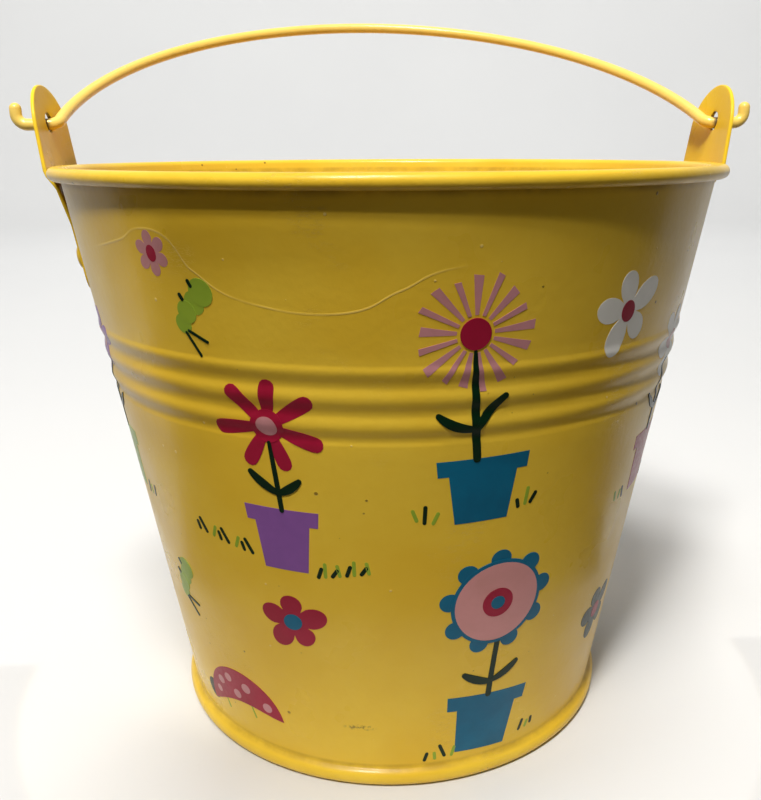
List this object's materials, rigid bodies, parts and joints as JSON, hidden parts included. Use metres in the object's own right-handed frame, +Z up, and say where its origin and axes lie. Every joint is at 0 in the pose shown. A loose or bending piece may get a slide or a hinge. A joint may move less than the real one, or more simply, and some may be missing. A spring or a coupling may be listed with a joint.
{
  "type": "small painted metal pail with bail handle",
  "caption": "Small tapered painted steel pail with rolled rim and foot, riveted ears and a folding wire bail handle.",
  "frame": {"origin": "centre of the pail's underside, in the plane that the foot rests on", "axes": "+Z up along the pail's axis, X through the two ears along the bail's hinge axis, -Y the front; at rest the bail leans back towards +Y"},
  "size_m": [0.1878, 0.1649, 0.1852],
  "materials": {
    "yellow_enamel": "semi-gloss baked enamel on steel sheet",
    "yellow_enamelled_wire": "semi-gloss baked enamel on steel wire"
  },
  "bodies": {
    "pail": {"wall": "yellow_enamel", "base": "yellow_enamel", "ear_left": "yellow_enamel", "ear_right": "yellow_enamel", "rivet_left_front": "yellow_enamel", "rivet_left_back": "yellow_enamel", "rivet_right_front": "yellow_enamel", "rivet_right_back": "yellow_enamel"},
    "bail": {"bail": "yellow_enamelled_wire"}
  },
  "joints": [
    {"name": "bail_swing", "type": "hinge", "parent": "pail", "child": "bail", "pos_m": [0, 0, 0.1524], "axis": [1, 0, 0], "range_deg": [-29, 162.4]}
  ]
}
